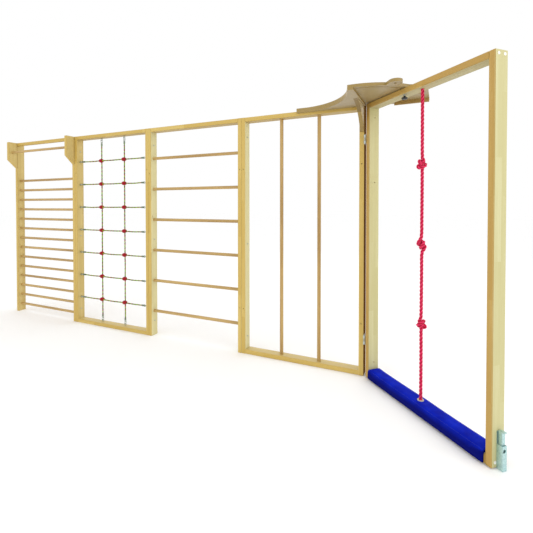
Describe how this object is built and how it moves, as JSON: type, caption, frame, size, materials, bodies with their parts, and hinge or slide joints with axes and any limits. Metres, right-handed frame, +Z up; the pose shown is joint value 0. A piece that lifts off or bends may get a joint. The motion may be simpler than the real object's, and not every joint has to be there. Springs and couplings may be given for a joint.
{
  "type": "indoor climbing wall",
  "caption": "Indoor climbing wall of joined timber frames with wall bars, rope net, ladder and poles, and a hinged frame with a knotted rope that swings under a corner deck.",
  "frame": {"origin": "on the floor, at the front left corner of the wall-bar frame's left post", "axes": "+X along the wall towards the swinging frame, +Y into the wall, +Z up"},
  "size_m": [6.1418, 1.0203, 2.524],
  "materials": {
    "frame_wood": "clear satin lacquer",
    "rung_wood": "clear satin lacquer",
    "deck_wood": "clear satin lacquer",
    "net_rope": "twisted",
    "climbing_rope": "twisted",
    "net_clamp": "glossy",
    "ferrule": "satin",
    "zinc_steel": "zinc plated",
    "latch_steel": "galvanised",
    "pad_cover": "matt coated cloth",
    "knob": "satin",
    "white_plastic": "satin"
  },
  "bodies": {
    "wall": {"wall_bar_post_left": "frame_wood", "wall_bar_post_right": "frame_wood", "wall_bar_bracket_left": "frame_wood", "wall_bar_bracket_right": "frame_wood", "wall_bar_top_rail": "frame_wood", "pull_up_bar": "rung_wood", "wall_bar_rungs": "rung_wood", "net_post_left": "frame_wood", "net_post_right": "frame_wood", "net_top_beam": "frame_wood", "net_bottom_beam": "frame_wood", "net_rope_row_1": "net_rope", "net_rope_row_2": "net_rope", "net_rope_row_3": "net_rope", "net_rope_row_4": "net_rope", "net_rope_row_5": "net_rope", "net_rope_row_6": "net_rope", "net_rope_row_7": "net_rope", "net_rope_column_1": "net_rope", "net_rope_column_2": "net_rope", "net_clamps": "net_clamp", "net_eye_bolts": "zinc_steel", "net_links": "zinc_steel", "net_ferrules": "ferrule", "ladder_post_left": "frame_wood", "ladder_post_right": "frame_wood", "ladder_top_beam": "frame_wood", "ladder_rungs": "rung_wood", "pole_post_left": "frame_wood", "pole_post_right": "frame_wood", "pole_top_beam": "frame_wood", "pole_bottom_beam": "frame_wood", "climbing_poles": "rung_wood", "joining_bolts": "zinc_steel", "joining_nuts": "zinc_steel", "frame_dowels": "rung_wood", "deck_upper_board": "deck_wood", "deck_lower_board": "deck_wood", "deck_gusset": "frame_wood", "deck_batten": "frame_wood", "deck_screws": "zinc_steel", "hinge_fixed_leaves": "zinc_steel", "hinge_pins": "zinc_steel", "hinge_fixed_screws": "zinc_steel"},
    "swing_frame": {"swing_hinge_post": "frame_wood", "swing_outer_post": "frame_wood", "swing_top_beam": "frame_wood", "swing_bottom_beam": "frame_wood", "sill_pad": "pad_cover", "climbing_rope": "climbing_rope", "climbing_rope_knots": "climbing_rope", "rope_grommet": "white_plastic", "hinge_swing_leaves": "zinc_steel", "swing_screws": "zinc_steel", "swing_frame_bolts": "zinc_steel", "swing_post_caps": "white_plastic", "latch_housing": "latch_steel"},
    "lock": {"lock_pin": "zinc_steel", "lock_knob": "knob"},
    "floor_bolt": {"latch_bolt": "latch_steel"}
  },
  "joints": [
    {"name": "frame_swing", "type": "hinge", "parent": "wall", "child": "swing_frame", "pos_m": [5.142, -0.007, 1.25], "axis": [0, 0, 1], "range_deg": [-45, 22.5]},
    {"name": "lock_slide", "type": "slide", "parent": "swing_frame", "child": "lock", "axis": [0, 0, 1], "range_m": [0, 0.011]},
    {"name": "floor_bolt_slide", "type": "slide", "parent": "swing_frame", "child": "floor_bolt", "axis": [0, 0, 1], "range_m": [0, 0.06]}
  ]
}
